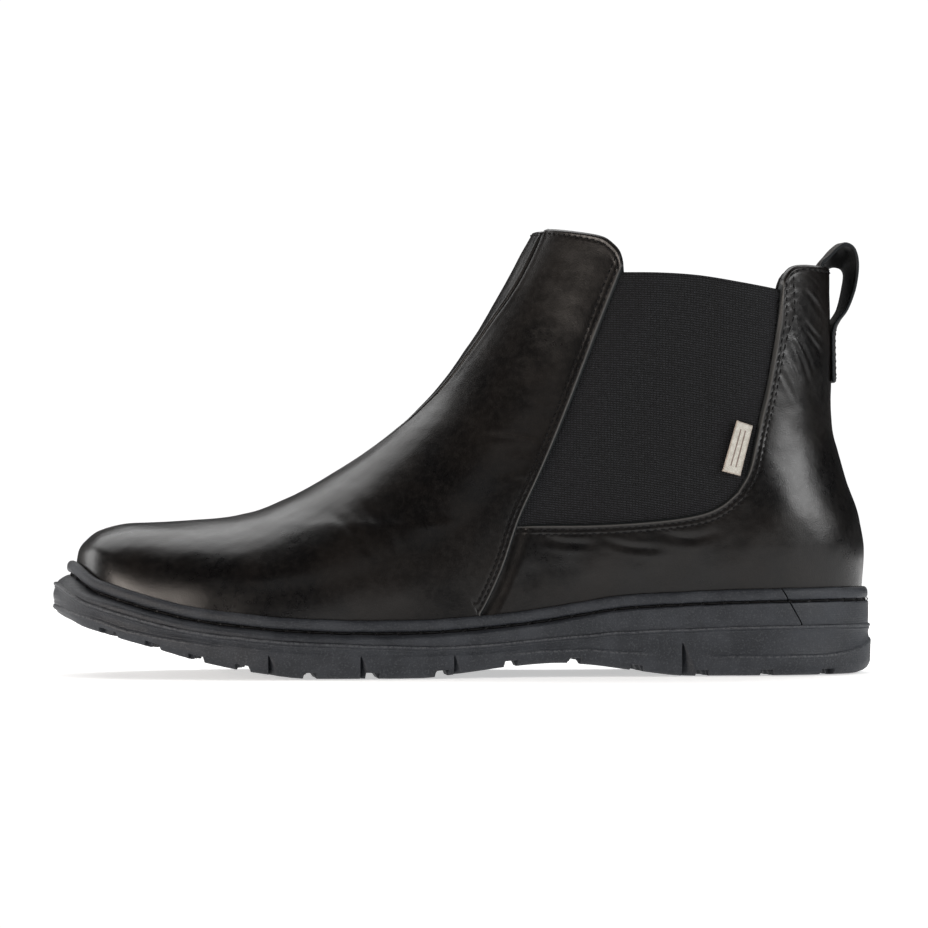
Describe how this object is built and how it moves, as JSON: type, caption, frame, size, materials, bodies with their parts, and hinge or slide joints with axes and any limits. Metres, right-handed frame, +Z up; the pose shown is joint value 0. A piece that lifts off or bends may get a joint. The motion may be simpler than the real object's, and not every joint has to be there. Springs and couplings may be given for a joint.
{
  "type": "chelsea boot",
  "caption": "Left ankle boot with a lasted leather upper, elastic side gussets, heel pull loop, stitched rubber welt and lugged outsole.",
  "frame": {"origin": "centre of the sole's footprint box, on the ground", "axes": "toe towards -X, heel towards +X, lateral side towards -Y, +Z up"},
  "size_m": [0.3036, 0.1035, 0.1635],
  "materials": {
    "black_leather": "semi-gloss smooth calf, black with a brown cast in the highlights",
    "elastic_web": "matte ribbed elastic webbing",
    "strap": "matte black strap, suede-like inner face",
    "label_canvas": "matte woven canvas, blank",
    "seam_thread": "waxed thread",
    "lining": "matte lining textile",
    "stiffener": "thermoplastic stiffener sheet",
    "soft_foam": "matte foam",
    "insole_fibreboard": "raw fibreboard",
    "shank_steel": "spring steel strip",
    "sole_rubber": "matte moulded rubber, dark blue-grey"
  },
  "bodies": {
    "root": {"vamp": "black_leather", "quarter_lateral": "black_leather", "quarter_medial": "black_leather", "gusset_lateral": "elastic_web", "gusset_medial": "elastic_web", "pull_loop_outer_tail": "strap", "pull_loop_inner_tail": "strap", "vamp_seam_thread_lateral": "seam_thread", "vamp_seam_thread_medial": "seam_thread", "gusset_seam_thread_lateral": "seam_thread", "gusset_seam_thread_medial": "seam_thread", "welt_thread": "seam_thread", "vamp_lining": "lining", "quarter_lining_lateral": "lining", "quarter_lining_medial": "lining", "collar_foam_lateral": "soft_foam", "collar_foam_medial": "soft_foam", "toe_puff": "stiffener", "heel_counter": "stiffener", "insole_board": "insole_fibreboard", "shank": "shank_steel", "bottom_filler": "soft_foam", "footbed": "soft_foam", "midsole_core": "soft_foam", "welt_strip": "sole_rubber", "outsole": "sole_rubber"},
    "pull_loop": {"pull_loop": "strap"},
    "label": {"label_tag": "label_canvas"}
  },
  "joints": [
    {"name": "pull_loop_swing", "type": "hinge", "parent": "root", "child": "pull_loop", "pos_m": [0.139, 0, 0.131], "axis": [0, 1, 0], "range_deg": [-20, 35], "stiffness_Nm_per_rad": 0.02},
    {"name": "label_flap", "type": "hinge", "parent": "root", "child": "label", "pos_m": [0.09975, -0.03435, 0.082], "axis": [0.2567, 0.0838, 0.9628], "range_deg": [0, 60], "stiffness_Nm_per_rad": 0.002}
  ]
}
